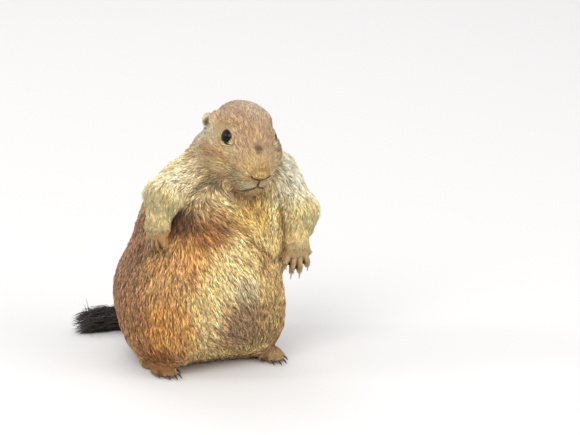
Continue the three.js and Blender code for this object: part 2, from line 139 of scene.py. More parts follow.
# rings along a route, bridged one to the next and closed at its ends
def tube(bm, places, radii, closed=False, sides=8, flat=1.0, out=None):
    rings = []
    count = len(places)
    for i, place in enumerate(places):
        before = places[(i - 1) % count] if closed or i else place
        after = places[(i + 1) % count] if closed or i < count - 1 else place
        along = (after - before).normalized()
        up = (out(place) if out else Vector((0, 0, 1))).normalized()
        across = along.cross(up).normalized()
        lift = across.cross(along)
        pose = Matrix((across, lift, along)).transposed().to_4x4()
        pose.translation = place
        pose = pose @ Matrix.Diagonal((1, flat, 1, 1))
        ring = bmesh.ops.create_circle(bm, cap_ends=False, segments=sides, radius=radii[i], matrix=pose)
        rings.append(ring["verts"])
    loops = [list({e for v in ring for e in v.link_edges}) for ring in rings]
    pairs = list(zip(loops, loops[1:] + loops[:1])) if closed else list(zip(loops, loops[1:]))
    for one, other in pairs:
        bmesh.ops.bridge_loops(bm, edges=one + other)
    if not closed:
        for ring in (rings[0], rings[-1]):
            bmesh.ops.contextual_create(bm, geom=ring)
    bmesh.ops.recalc_face_normals(bm, faces=bm.faces)


# the head's own frame: its origin is between the eyes, and it faces -Y

headTurn = {"pitch": 18.1, "yaw": -4.0, "roll": 6.3}          # degrees, as in the solids
eyeballs = {
    "radius": 6.9, "at": (17.0, -0.8, 0.3), "facing": (0.86, -0.45, 0.15),
    "shift": (-0.9, -0.6, -2.2),                  # from the middle of the solid eye
    "slit": 6.3, "open": 5.0, "tilt": 40.0,       # half the opening's length and height, and its slope
    "narrow": 0.6,                                # how much it narrows to its front corner
}


def boxMiddle(node):
    low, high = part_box(node)
    return (low + high) / 2


def headMatrix():
    turn = (Matrix.Rotation(math.radians(headTurn["yaw"]), 3, "Z")
            @ Matrix.Rotation(math.radians(headTurn["pitch"]), 3, "X")
            @ Matrix.Rotation(math.radians(headTurn["roll"]), 3, "Y"))
    middle = (boxMiddle("eye_right") + boxMiddle("eye_left")) / 2
    x, y, z = eyeballs["at"]
    pose = turn.to_4x4()
    pose.translation = middle - turn @ Vector((0, y, z)) * mm
    return pose


head = headMatrix()
headInverse = head.inverted()
noseMiddle = boxMiddle("nose")


def onHead(x, y, z):
    return head @ (Vector((x, y, z)) * mm)


def inHead(points):
    m = np.array(headInverse)
    return (points @ m[:3, :3].T + m[:3, 3]) / mm


def eyeMatrix(side):
    x, y, z = eyeballs["facing"]
    out = Vector((side * x, y, z)).normalized()
    up = (Vector((0, 0, 1)) - out * out.z).normalized()
    ahead = out.cross(up) * side
    pose = Matrix((ahead, up, out)).transposed().to_4x4()
    x, y, z = Vector(eyeballs["at"]) + Vector(eyeballs["shift"])
    pose.translation = Vector((side * x, y, z)) * mm
    return head @ pose


# a point of the lids' edge on the eyeball, for t from 0 to 1 right round
def opening(side, t, grown=0.0):
    tilt = math.radians(eyeballs["tilt"])
    ahead = math.cos(2 * math.pi * t)
    x = (eyeballs["slit"] + grown) * ahead
    y = (eyeballs["open"] + grown) * math.sin(2 * math.pi * t) * (1 - eyeballs["narrow"] * max(0, ahead))
    along = x * math.cos(tilt) + y * math.sin(tilt)
    above = y * math.cos(tilt) - x * math.sin(tilt)
    out = math.sqrt(max((eyeballs["radius"] + 0.25) ** 2 - along ** 2 - above ** 2, 1))
    return eyeMatrix(side) @ (Vector((along, above, out)) * mm)


# the skin

tail = {
    "route": [(-7.5, 44, 24), (-15.5, 69, 14), (-29.5, 80, 10.5), (-53.5, 85, 9)],
    "core": (6.5, 3.2),
}
skin = {
    "grown": 0.45,             # each part swells by this much, so that they run into one
    "pawsGrown": 0.3,
    "voxel": 0.75,
    "rounds": 190,             # of smoothing, where a zone's softness is 1
    "kept": 0.28,              # share of the faces left once it is smooth
    "zones": {
        # softness of the form, how deep the skin lies under the tips of the coat, and the coat itself:
        # length and width of a tuft, how steeply it leaves the skin in degrees, and tufts for a square mm
        "back":    dict(soft=1.0, deep=1.7, long=7.2, wide=0.66, lift=18, dense=1.4),
        "belly":   dict(soft=0.9, deep=1.7, long=8.6, wide=0.68, lift=16, dense=1.4),
        "thigh":   dict(soft=0.8, deep=1.5, long=7.4, wide=0.66, lift=16, dense=1.4),
        "neck":    dict(soft=0.6, deep=1.4, long=8.5, wide=0.66, lift=18, dense=1.8),
        "arm":     dict(soft=0.4, deep=1.1, long=7.8, wide=0.6, lift=18, dense=2.0),
        "fore":    dict(soft=0.2, deep=0.8, long=6.6, wide=0.6, lift=17, dense=2.4),
        "hand":    dict(soft=0.02, deep=0.1, long=2.8, wide=0.46, lift=11, dense=4.6),
        "foot":    dict(soft=0.02, deep=0.3, long=2.4, wide=0.42, lift=9, dense=3.0),
        "crown":   dict(soft=0.14, deep=0.6, long=4.4, wide=0.66, lift=19, dense=3.6),
        "cheek":   dict(soft=0.14, deep=0.9, long=6.0, wide=0.66, lift=19, dense=3.4),
        "muzzle":  dict(soft=0.08, deep=0.4, long=2.8, wide=0.5, lift=15, dense=5.5),
        "lid":     dict(soft=0.03, deep=0.25, long=1.5, wide=0.34, lift=9, dense=8.0),
        "nose":    dict(soft=0.03, deep=0.3, long=1.7, wide=0.44, lift=13, dense=6.0),
        "ear":     dict(soft=0.03, deep=0.25, long=2.8, wide=0.44, lift=14, dense=5.5),
        "tail":    dict(soft=0.1, deep=0.0, long=20.0, wide=0.8, lift=26, dense=2.4),
    },
}
nodeZones = {
    "head": "cheek", "neck": "neck", "nose": "muzzle", "torso_upper": "back", "torso_lower": "back",
    "arm_right_upper": "arm", "arm_left_upper": "arm", "arm_right_fore": "fore", "arm_left_fore": "fore",
    "hand_right": "hand", "hand_left": "hand", "thigh_right": "thigh", "thigh_left": "thigh",
    "foot_right": "foot", "foot_left": "foot", "ear_right": "ear", "ear_left": "ear",
    "eye_right": "lid", "eye_left": "lid",
}
zoneNames = list(skin["zones"])
# soft flesh and thick coat between the solids
fillings = {
    "rightTemple": dict(onHead=True, radius=7.6, at=[(-20, 17.5, 3)]),
    "leftTemple":  dict(onHead=True, radius=5.5, at=[(17.5, 18, 1)]),
    "leftSide":    dict(onHead=False, radius=17.0, at=[(34, -48, 94), (34, -46, 78)]),
    "leftForearm": dict(onHead=False, radius=12.5, at=[(61.5, -57, 110)]),
    "leftWrist":   dict(onHead=False, radius=8.5, at=[(56, -62, 99)]),
}


# points along the middle of the tail
def tailPlaces(count):
    return [place * mm for place in alongRoute(tail["route"], count)]


# all parts of flesh in one mesh, each a little swollen, and a tree that tells them apart
def mergedFlesh():
    plain = bmesh.new()
    swollen = bmesh.new()
    owners = []
    for name, zone in nodeZones.items():
        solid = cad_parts[name].data
        start = len(plain.faces)
        plain.from_mesh(solid)
        owners += [name] * (len(plain.faces) - start)
        part = bmesh.new()
        part.from_mesh(solid)
        bmesh.ops.remove_doubles(part, verts=part.verts, dist=1e-6)
        part.normal_update()
        by = skin["pawsGrown" if zone in ("hand", "foot") else "grown"] * mm
        for vert in part.verts:
            vert.co += vert.normal * by
        held = bpy.data.meshes.new("part")
        part.to_mesh(held)
        part.free()
        swollen.from_mesh(held)
        bpy.data.meshes.remove(held)
    tree = BVHTree.FromBMesh(plain)
    plain.free()
    places = tailPlaces(12)
    thick, thin = tail["core"]
    radii = [(thick + (thin - thick) * i / 11) * mm for i in range(12)]
    tube(swollen, places, radii, sides=12)
    for filling in fillings.values():
        for place in filling["at"]:
            middle = onHead(*place) if filling["onHead"] else Vector(place) * mm
            bmesh.ops.create_icosphere(swollen, subdivisions=3, radius=filling["radius"] * mm,
                                       matrix=Matrix.Translation(middle))
    for side in sides:
        claws, middle, back = fingerLines(side)
        for claw in claws:
            for t in np.linspace(fingers["from"], fingers["upTo"], fingers["steps"]):
                place = claw + back * t - (claw - middle) * fingers["narrower"] * t
                bmesh.ops.create_icosphere(swollen, subdivisions=3, radius=fingers["radius"][side] * mm,
                                           matrix=Matrix.Translation(Vector(place) * mm))
    return swollen, tree, np.array(owners)


# how much of each zone a point of the skin belongs to
def zoneWeights(points, tree, owners):
    weights = {name: np.zeros(len(points)) for name in zoneNames}
    owner = owners[[tree.find_nearest(Vector(point))[2] for point in points]]
    zone = np.vectorize(nodeZones.get)(owner)
    for name in set(nodeZones.values()):
        weights[name][zone == name] = 1
    local = inHead(points)
    x, y = points[:, 0] / mm, points[:, 1] / mm
    front = weights["back"] * ease(-36, -58, y) * ease(58, 42, x)
    weights["belly"] += front
    weights["back"] -= front
    eyes = [np.array(boxMiddle("eye_" + s)) for s in sides]
    toEye = np.minimum(*[np.linalg.norm(points - e, axis=1) for e in eyes]) / mm
    toNose = np.linalg.norm(points - np.array(noseMiddle), axis=1) / mm
    line = np.array([tuple(p) for p in tailPlaces(12)])[2:]
    toTail = np.min([np.linalg.norm(points - p, axis=1) for p in line], axis=0) / mm

    def take(name, share, givers):
        for giver in givers:
            taken = weights[giver] * share
            weights[name] += taken
            weights[giver] -= taken

    take("crown", ease(-14, -3, local[:, 2]), ["cheek"])
    take("muzzle", ease(27, 13, np.linalg.norm(local - (0, -32, -20), axis=1)), ["cheek", "crown"])
    take("lid", ease(10.5, 7.6, toEye), ["cheek", "crown", "muzzle"])
    take("nose", ease(8, 2, toNose), ["muzzle"])
    take("tail", ((toTail < 10) & (y > 52)).astype(float), ["back", "thigh"])
    return np.stack([weights[name] for name in zoneNames], axis=1)


def headShareOf(weights):
    return sum(weights[:, zoneNames.index(z)] for z in ("crown", "cheek", "muzzle", "lid", "nose", "ear"))


def field(weights, name):
    return weights @ np.array([z[name] for z in skin["zones"].values()])


# in the head's own frame, on its left side and mirrored to the right; "lean" moves their low ends across
lean = 0.16
grooves = {
    "nostril": {"deep": 1.0, "wide": 1.0, "route": [(0.4, -34, -22.4), (3.6, -33.5, -21.4), (7.4, -30, -17.5)]},
    "philtrum": {"deep": 0.6, "wide": 0.8, "route": [(0, -34, -22.4), (0.3, -33.5, -25.5), (0.6, -32, -30)]},
    "mouth": {"deep": 1.1, "wide": 1.0,
              "route": [(0.6, -32, -30), (4, -30.5, -31.6), (8.5, -26, -33.8), (12.5, -19, -37.5)]},
}
# tone and amount: painted shade in the gaps between the fingers
fingers = {
    "radius": {"right": 2.2, "left": 2.8}, "from": 0.24, "steps": 7,
    "upTo": 0.8, "narrower": 0.3, "deep": 1.0, "wide": 1.0, "through": 0.8, "reach": 1.9,
    "tone": (40, 27, 17), "amount": 0.95,
}
# creases where one soft form lies against the next, in the frame of the model
folds = {
    "chest": dict(deep=1.8, wide=2.6, route=[(-30, -57, 136), (-18, -67, 132), (-4, -74, 121),
                                             (12, -75, 105), (35, -66, 84)]),
    "chestLower": dict(deep=0.9, wide=2.2, route=[(-14, -73, 121), (-2, -77, 112), (12, -77, 97), (22, -74, 84)]),
    "throat": dict(deep=1.2, wide=2.6, route=[(-26, -54, 148), (-20, -58, 153.5), (-11, -66, 150), (-3, -71, 144)]),
    "leftArm": dict(deep=0.8, wide=2.0, route=[(43, -60, 127), (45, -60, 115), (45, -61, 103), (43, -66, 92)]),
}


def groovePlace(side, x, y, z):
    return side * x + 0.9 + lean * max(-22.4 - z, 0), y, z


# nearest distance to a broken line
def routeDistance(local, route):
    best = np.full(len(local), 1e9)
    for a, b in zip(route, route[1:]):
        a, b = np.array(a, float), np.array(b, float)
        t = np.clip(((local - a) @ (b - a)) / ((b - a) @ (b - a)), 0, 1)
        best = np.minimum(best, np.linalg.norm(local - a - t[:, None] * (b - a), axis=1))
    return best


def grooveDistance(local, groove):
    both = [routeDistance(local, [groovePlace(side, *p) for p in groove["route"]]) for side in (-1, 1)]
    return np.minimum(*both)


# the middles of the four claws of a hand, the middle of these, and the way from there to the palm
def fingerLines(side):
    claws = [np.array(boxMiddle(f"hand_{side}_claw_{i}")) / mm for i in range(1, 5)]
    middle = sum(claws) / 4
    return claws, middle, np.array(boxMiddle(f"hand_{side}")) / mm - middle


# how far a place is from the lines between neighbouring fingers, seen square to the back of the hand
def gapDistance(points):
    best = np.full(len(points), 1e9)
    for side in sides:
        claws, middle, back = fingerLines(side)
        out = unit(np.cross(claws[3] - claws[0], back))
        local = points / mm - middle
        flat = local - np.outer(local @ out, out) * fingers["through"]
        for one, other in zip(claws, claws[1:]):
            low = (one + other) / 2 - middle
            high = low * (1 - fingers["narrower"]) + back * fingers["upTo"]
            route = [p - out * (p @ out) * fingers["through"] for p in (low, high)]
            best = np.minimum(best, routeDistance(flat, route))
    return best


# how far round the eye a place is: below 1 it is inside the lids
def aroundEye(points, side):
    m = np.array(eyeMatrix(side).inverted())
    local = (points @ m[:3, :3].T + m[:3, 3]) / mm
    r = np.linalg.norm(local, axis=1)
    on = local / np.maximum(r, 0.1)[:, None] * eyeballs["radius"]
    tilt = math.radians(eyeballs["tilt"])
    x = on[:, 0] * math.cos(tilt) - on[:, 1] * math.sin(tilt)
    y = on[:, 1] * math.cos(tilt) + on[:, 0] * math.sin(tilt)
    ahead = np.clip(x / eyeballs["slit"], 0, 1)
    e = np.hypot(x / eyeballs["slit"], y / (eyeballs["open"] * (1 - eyeballs["narrow"] * ahead)))
    return local, r, np.where((local[:, 2] > 0) & (r < eyeballs["radius"] * 2.2), e, 9.0)


# the skin dips under the eyeball inside the lids, and the lids lie on the ball
def shapeEyes(points):
    radius = eyeballs["radius"]
    for side in sides.values():
        local, r, e = aroundEye(points, side)
        hug = ease(2.0, 1.15, e)
        outer = r * (1 - hug) + np.clip(r, radius + 0.7, radius + 1.3) * hug
        target = np.where(e < 1.0, radius - 1.2, outer)
        near = e < 2.0
        m = np.array(eyeMatrix(side))
        local = local[near] * (target / r)[near, None]
        points[near] = local * mm @ m[:3, :3].T + m[:3, 3]
    return points


def cutGrooves(points, normals):
    for fold in folds.values():
        distance = routeDistance(points / mm, fold["route"])
        push = fold["deep"] * np.exp(-(distance / fold["wide"]) ** 2)
        points = points - normals * (push * mm)[:, None]
    for groove in grooves.values():
        push = groove["deep"] * np.exp(-(grooveDistance(inHead(points), groove) / groove["wide"]) ** 2)
        points = points - normals * (push * mm)[:, None]
    push = fingers["deep"] * np.exp(-(gapDistance(points) / fingers["wide"]) ** 2)
    points = points - normals * (push * mm)[:, None]
    return points


# smaller faces where the eyes, nose and mouth are shaped
def refineFace(mesh):
    points = pointsOf(mesh)
    local = inHead(points)
    fine = np.linalg.norm(points - np.array(noseMiddle), axis=1) < 11 * mm
    fine |= (grooveDistance(local, grooves["mouth"]) < 4) | (gapDistance(points) < 2.2)
    for side in sides.values():
        fine |= aroundEye(points, side)[2] < 1.7
    bm = bmesh.new()
    bm.from_mesh(mesh)
    bm.verts.ensure_lookup_table()
    edges = [e for e in bm.edges if fine[e.verts[0].index] and fine[e.verts[1].index]]
    bmesh.ops.subdivide_edges(bm, edges=edges, cuts=1, use_grid_fill=True)
    bmesh.ops.triangulate(bm, faces=bm.faces)
    bm.to_mesh(mesh)
    bm.free()


def makeSkin():
    bm, tree, owners = mergedFlesh()
    body = addObject("skin", bm)
    remesh = body.modifiers.new("oneSkin", "REMESH")
    remesh.mode = "VOXEL"
    remesh.voxel_size = skin["voxel"] * mm * 1
    finished(body)
    mesh = body.data
    edges = edgesOf(mesh)
    points = pointsOf(mesh)
    softness = field(zoneWeights(points, tree, owners), "soft")[:, None]
    softness = spread(softness, edges, 16)
    for _ in range(skin["rounds"] // (1)):
        points += (neighbourMean(points, edges, len(points)) - points) * softness * 0.5
    setPoints(mesh, points)
    thin = body.modifiers.new("fewer", "DECIMATE")
    thin.ratio = skin["kept"]
    finished(body)
    mesh = body.data
    refineFace(mesh)
    points = pointsOf(mesh)
    edges = edgesOf(mesh)
    weights = spread(zoneWeights(points, tree, owners), edges, 6)
    headShare = headShareOf(weights)[:, None]
    weights = weights * headShare + spread(weights, edges, 45) * (1 - headShare)
    depth = field(weights, "deep")
    normals = normalsOf(mesh)
    onFloor = ease(0.006, 0.001, points[:, 2]) * ease(-0.5, -0.9, normals[:, 2])
    points -= normals * (depth * mm * (1 - onFloor))[:, None]
    setPoints(mesh, points)
    points = cutGrooves(shapeEyes(points), normalsOf(mesh))
    points[:, 2] = np.maximum(points[:, 2], 0)
    setPoints(mesh, points)
    shadeSmooth(body)
    return body, weights


print("skin")
body, zones = makeSkin()
print("skin faces", len(body.data.polygons))


# markings: the same places and tones for the skin and every tuft

def tone(red, green, blue):
    shares = np.array((red, green, blue)) / 255
    return np.where(shares <= 0.04045, shares / 12.92, ((shares + 0.055) / 1.055) ** 2.4)


zoneTones = {
    "back": tone(146, 112, 86), "belly": tone(218, 186, 128), "thigh": tone(156, 116, 78),
    "neck": tone(204, 184, 144), "arm": tone(226, 206, 160), "fore": tone(232, 200, 146),
    "hand": tone(208, 176, 130), "foot": tone(176, 144, 104), "crown": tone(182, 148, 116),
    "cheek": tone(176, 146, 102), "muzzle": tone(190, 158, 108), "lid": tone(186, 154, 112),
    "nose": tone(184, 152, 98), "ear": tone(216, 202, 164), "tail": tone(40, 31, 27),
}
markings = {
    "flank":        dict(at=(-43, -66, 100), reach=(26, 26, 26), tone=tone(198, 146, 78), amount=0.9),
    "lowerFlank":   dict(at=(-56, -58, 82), reach=(24, 24, 26), tone=tone(188, 144, 94), amount=0.8),
    "bellyCream":   dict(at=(-10, -84, 84), reach=(26, 24, 28), tone=tone(234, 204, 146), amount=0.9),
    "bellyGrey":    dict(at=(0, -86, 72), reach=(15, 14, 14), tone=tone(200, 186, 154), amount=0.8),
    # painted shade in a crease of the belly at the end of the chest fold
    "wrinkleShade":      dict(at=(19, -74, 87), reach=(6, 10, 8), tone=tone(140, 106, 64), amount=0.65),
    "bellyLeft":    dict(at=(32, -66, 84), reach=(14, 20, 24), tone=tone(214, 182, 128), amount=0.8),
    "groin":        dict(at=(0, -84, 38), reach=(31, 26, 30), tone=tone(130, 102, 74), amount=0.8),
    "stripe":       dict(at=(-31, -80, 42), reach=(8, 16, 30), tone=tone(228, 198, 142), amount=0.9),
    "rightThigh":   dict(at=(-58, -68, 42), reach=(20, 24, 30), tone=tone(196, 140, 68), amount=0.85),
    # painted shadow: the right haunch's tone darkened at its low end near the floor
    "rightShankShade":   dict(at=(-64, -58, 16), reach=(22, 28, 15), tone=tone(132, 84, 40), amount=0.8),
    "leftThigh":    dict(at=(34, -70, 48), reach=(18, 26, 34), tone=tone(170, 144, 96), amount=0.85),
    "chest":        dict(at=(10, -70, 126), reach=(26, 16, 16), tone=tone(218, 176, 96), amount=0.8),
    "chestPale":    dict(at=(36, -56, 124), reach=(12, 16, 14), tone=tone(236, 210, 152), amount=0.8),
    # the throat mark is painted shade under the chin
    "throat":       dict(at=(8, -70, 144), reach=(20, 14, 10), tone=tone(158, 130, 74), amount=0.7),
    "foldCream":    dict(at=(16, -74, 108), reach=(20, 14, 12), tone=tone(236, 204, 140), amount=0.8),
    # painted shade on the flank under the overhanging chest fold
    "shadeUnderFold":    dict(at=(-26, -68, 117), reach=(19, 16, 14), tone=tone(146, 98, 44), amount=0.92),
    # painted shade in the hollow under the right arm
    "armpitShade":       dict(at=(-40, -48, 124), reach=(15, 18, 15), tone=tone(92, 54, 24), amount=0.95),
    "rightSleeve":  dict(at=(-43, -42, 160), reach=(26, 26, 16), tone=tone(234, 218, 182), amount=0.85),
    "leftSleeve":   dict(at=(62, -48, 150), reach=(26, 28, 24), tone=tone(236, 230, 208), amount=0.85),
    "rightFore":    dict(at=(-58, -58, 136), reach=(16, 16, 18), tone=tone(250, 216, 152), amount=0.9),
    "leftFore":     dict(at=(58, -66, 112), reach=(18, 18, 20), tone=tone(250, 216, 148), amount=0.9),
    "nape":         dict(at=(8, 12, 172), reach=(34, 26, 26), tone=tone(156, 124, 94), amount=0.85),
    "rightShoulder": dict(at=(-50, 2, 146), reach=(24, 34, 30), tone=tone(162, 130, 96), amount=0.8),
    "leftShoulder": dict(at=(58, 2, 140), reach=(24, 34, 30), tone=tone(166, 134, 100), amount=0.8),
}


# in the head's own frame
faceMarks = {
    "crownSheen":  dict(at=(2, 6, 19), reach=(22, 20, 8), tone=tone(200, 174, 146), amount=0.5),
    "crownWarm":   dict(at=(-10, -4, 13), reach=(14, 14, 9), tone=tone(164, 124, 90), amount=0.55),
    "foreheadWarm": dict(at=(2, -14, 9), reach=(15, 10, 9), tone=tone(182, 146, 108), amount=0.5),
    "temple":      dict(at=(-26, 6, -3), reach=(9, 13, 9), tone=tone(202, 188, 150), amount=0.75),
    "farTemple":   dict(at=(26, 6, -3), reach=(9, 13, 9), tone=tone(190, 174, 136), amount=0.7),
    "behindEar":   dict(at=(-26, 24, -12), reach=(12, 16, 14), tone=tone(200, 190, 160), amount=0.8),
    "farBehindEar": dict(at=(26, 24, -12), reach=(12, 16, 14), tone=tone(196, 184, 152), amount=0.8),
    "streak":      dict(at=(-28, -4, -16), reach=(9, 17, 7), tone=tone(150, 114, 66), amount=0.7),
    "farStreak":   dict(at=(29, 0, -18), reach=(9, 18, 9), tone=tone(132, 98, 64), amount=0.8),
    "cheekPale":   dict(at=(-22, -11, -24), reach=(10, 10, 7), tone=tone(196, 170, 120), amount=0.65),
    "farCheek":    dict(at=(20, -14, -22), reach=(9, 12, 9), tone=tone(212, 188, 136), amount=0.7),
    "jowl":        dict(at=(-24, -6, -34), reach=(10, 12, 6), tone=tone(150, 124, 76), amount=0.6),
    "underEye":    dict(at=(-15, -12, -8), reach=(6, 6, 4), tone=tone(212, 186, 136), amount=0.6),
    "farUnderEye": dict(at=(15, -12, -8), reach=(6, 6, 4), tone=tone(204, 176, 128), amount=0.6),
    "bridge":      dict(at=(0, -27, -5), reach=(9, 10, 8), tone=tone(206, 172, 122), amount=0.7),
    "bridgeSpot":  dict(at=(-1.6, -24, 0), reach=(4.2, 4.2, 3.8), tone=tone(98, 78, 72), amount=0.9),
    "noseTop":     dict(at=(1, -34, -10), reach=(4.6, 4, 4), tone=tone(158, 128, 72), amount=0.6),
    "nosePad":     dict(at=(0.5, -34, -18), reach=(7, 5, 5), tone=tone(196, 164, 104), amount=0.5),
    "lip":         dict(at=(-6, -30, -28), reach=(6.5, 7, 4), tone=tone(226, 212, 172), amount=0.85),
    "farLip":      dict(at=(7, -30, -27), reach=(6.5, 7, 4), tone=tone(220, 198, 148), amount=0.8),
    "whiskerPad":  dict(at=(-13, -24, -24), reach=(6, 7, 6), tone=tone(164, 148, 108), amount=0.6),
    "chin":        dict(at=(0, -24, -40), reach=(10, 12, 6), tone=tone(176, 144, 84), amount=0.6),
    # painted shade in the hollow of the near ear
    "earHollowShade":     dict(at=(-24.4, 27, -5.5), reach=(2.4, 3.2, 3.4), tone=tone(96, 84, 56), amount=0.8),
}
# painted shade: dark lines along the creases of the chest, throat and left arm folds
creaseShades = {
    "chest":      dict(route=folds["chest"]["route"], reach=5.0, tone=tone(142, 100, 46), amount=0.75),
    "chestLower": dict(route=folds["chestLower"]["route"], reach=3.2, tone=tone(158, 116, 58), amount=0.6),
    "throat":     dict(route=folds["throat"]["route"], reach=4.2, tone=tone(84, 72, 42), amount=0.75),
    "leftArm":    dict(route=folds["leftArm"]["route"], reach=3.6, tone=tone(150, 106, 40), amount=0.8),
}
eyeRing = {"reach": (1.5, 1.15), "tone": tone(216, 188, 140), "amount": 0.7}
# painted shade of the coat along the nostrils, the cleft and the mouth
grooveShade = {"reach": 1.7, "tone": tone(92, 66, 32), "amount": 0.75}


def coatTone(points, weights):
    tones = weights @ np.array([zoneTones[name] for name in zoneNames])
    local = inHead(points)
    for marks, places in ((markings, points / mm), (faceMarks, local)):
        for mark in marks.values():
            far = np.linalg.norm((places - np.array(mark["at"])) / np.array(mark["reach"]), axis=1)
            share = (mark["amount"] * ease(1.3, 0.5, far))[:, None]
            tones = tones * (1 - share) + mark["tone"] * share
    # painted shade along the creases of the folds
    for streak in creaseShades.values():
        far = routeDistance(points / mm, streak["route"])
        share = (streak["amount"] * ease(streak["reach"], streak["reach"] * 0.2, far))[:, None]
        tones = tones * (1 - share) + streak["tone"] * share
    # painted shade along the grooves of the face
    for groove in grooves.values():
        far = grooveDistance(local, groove)
        share = (grooveShade["amount"] * ease(grooveShade["reach"], 0.5, far))[:, None]
        tones = tones * (1 - share) + grooveShade["tone"] * share
    for side in sides.values():
        around = aroundEye(points, side)[2]
        share = (eyeRing["amount"] * ease(*eyeRing["reach"], around))[:, None]
        tones = tones * (1 - share) + eyeRing["tone"] * share
    # painted shade in the gaps between the fingers
    share = (fingers["amount"] * ease(fingers["reach"], 0.3, gapDistance(points)))[:, None]
    tones = tones * (1 - share) + tone(*fingers["tone"]) * share
    return tones * coat["warmth"]


# the lie of the coat: a few guides over the trunk and limbs, and on the head it runs back from the nose

guides = {
    "back":          dict(at=(-8, 50, 100), towards=(0, 0.15, -1), reach=60),
    "rightFlank":    dict(at=(-68, -30, 80), towards=(0.05, -0.1, -1), reach=34),
    "leftFlank":     dict(at=(47, -10, 80), towards=(0, 0, -1), reach=40),
    "belly":         dict(at=(-6, -85, 74), towards=(0.42, -0.3, -0.85), reach=24),
    "groin":         dict(at=(-10, -82, 40), towards=(0.5, -0.3, -0.8), reach=22),
    "rightThigh":    dict(at=(-64, -60, 45), towards=(0.15, -0.15, -1), reach=26),
    "leftThigh":     dict(at=(38, -66, 45), towards=(-0.05, -0.1, -1), reach=26),
    "chest":         dict(at=(-13, -66, 130), towards=(0.75, -0.45, -0.5), reach=13),
    "fold":          dict(at=(6, -73, 113), towards=(0.75, -0.4, -0.55), reach=15),
    "leftChest":     dict(at=(30, -60, 130), towards=(-0.4, -0.1, -0.85), reach=14),
    "throat":        dict(at=(10, -70, 143), towards=(0.1, -0.2, -1), reach=12),
    "rightShoulder": dict(at=(-28, -44, 158), towards=(-0.9, 0.1, -0.25), reach=16),
    "rightArm":      dict(at=(-56, -44, 156), towards=(-0.6, 0, -0.75), reach=13),
    "rightFore":     dict(at=(-60, -54, 132), towards=(-0.05, 0, -1), reach=15),
    "rightHand":     dict(at=(-60, -50, 108), towards=(-0.03, 0.05, -1), reach=15),
    "leftShoulder":  dict(at=(52, -46, 154), towards=(0.75, -0.3, -0.6), reach=18),
    "leftArm":       dict(at=(70, -56, 132), towards=(0.35, -0.25, -0.85), reach=16),
    "leftFore":      dict(at=(62, -64, 108), towards=(-0.3, -0.3, -0.9), reach=15),
    "leftHand":      dict(at=(56, -66, 88), towards=(-0.1, -0.2, -1), reach=15),
    "nape":          dict(at=(7, -15, 172), towards=(0, 0.6, -0.8), reach=26),
    "rightFoot":     dict(at=(-58, -48, 6), towards=(0, -1, -0.1), reach=16),
    "leftFoot":      dict(at=(38, -48, 6), towards=(0, -1, -0.1), reach=16),
}


def lieOfCoat(points, normals, weights, edges):
    flow = np.zeros_like(points)
    for guide in guides.values():
        far = np.linalg.norm(points / mm - np.array(guide["at"]), axis=1) / guide["reach"]
        flow += np.exp(-far ** 2)[:, None] * unit(np.array(guide["towards"], float))
    flow += np.array((0, 0, -1)) * 0.01
    headShare = headShareOf(weights)
    fromNose = unit(points - np.array(onHead(0, -33, -19)))
    flow = unit(flow) * (1 - headShare)[:, None] + fromNose * headShare[:, None]
    line = np.array([tuple(p) for p in tailPlaces(12)])
    nearest = np.argmin(np.linalg.norm(points[:, None] - line[None], axis=2), axis=1)
    along = unit(np.gradient(line, axis=0))[nearest]
    tailShare = weights[:, [zoneNames.index("tail")]]
    flow = unit(flow) * (1 - tailShare) + along * tailShare
    for _ in range(3):
        flow -= normals * (flow * normals).sum(1, keepdims=True)
        flow = spread(unit(flow), edges, 4)
    flow -= normals * (flow * normals).sum(1, keepdims=True)
    return unit(flow)


# materials

def newMaterial(name, roughness, specular=0.4, coatWeight=0.0):
    material = bpy.data.materials.new(name)
    material.use_nodes = True
    shader = material.node_tree.nodes["Principled BSDF"]
    shader.inputs["Roughness"].default_value = roughness
    shader.inputs["Specular IOR Level"].default_value = specular
    shader.inputs["Coat Weight"].default_value = coatWeight
    return material, material.node_tree.nodes, material.node_tree.links, shader


def furMaterial():
    material, nodes, links, shader = newMaterial("tuftHair", 0.62, 0.35)
    painted = nodes.new("ShaderNodeAttribute")
    painted.attribute_name = "coat"
    links.new(painted.outputs["Color"], shader.inputs["Base Color"])
    shader.inputs["Sheen Weight"].default_value = 0.12
    shader.inputs["Sheen Roughness"].default_value = 0.45
    return material


def skinMaterial():
    material, nodes, links, shader = newMaterial("furredSkin", 0.8, 0.25)
    painted = nodes.new("ShaderNodeAttribute")
    painted.attribute_name = "coat"
    place = nodes.new("ShaderNodeTexCoord")
    strands = nodes.new("ShaderNodeMapping")
    strands.inputs["Scale"].default_value = (1.0, 1.0, 0.2)
    grain = nodes.new("ShaderNodeTexNoise")
    grain.inputs["Scale"].default_value = 1100
    grain.inputs["Detail"].default_value = 3
    shade = nodes.new("ShaderNodeMix")
    shade.data_type = "RGBA"
    shade.blend_type = "MULTIPLY"
    shade.inputs["Factor"].default_value = 0.55
    bump = nodes.new("ShaderNodeBump")
    bump.inputs["Strength"].default_value = 0.6
    bump.inputs["Distance"].default_value = 0.0006
    links.new(place.outputs["Object"], strands.inputs["Vector"])
    links.new(strands.outputs["Vector"], grain.inputs["Vector"])
    links.new(painted.outputs["Color"], shade.inputs["A"])
    links.new(grain.outputs["Fac"], shade.inputs["B"])
    links.new(shade.outputs["Result"], shader.inputs["Base Color"])
    links.new(grain.outputs["Fac"], bump.inputs["Height"])
    links.new(bump.outputs["Normal"], shader.inputs["Normal"])
    return material


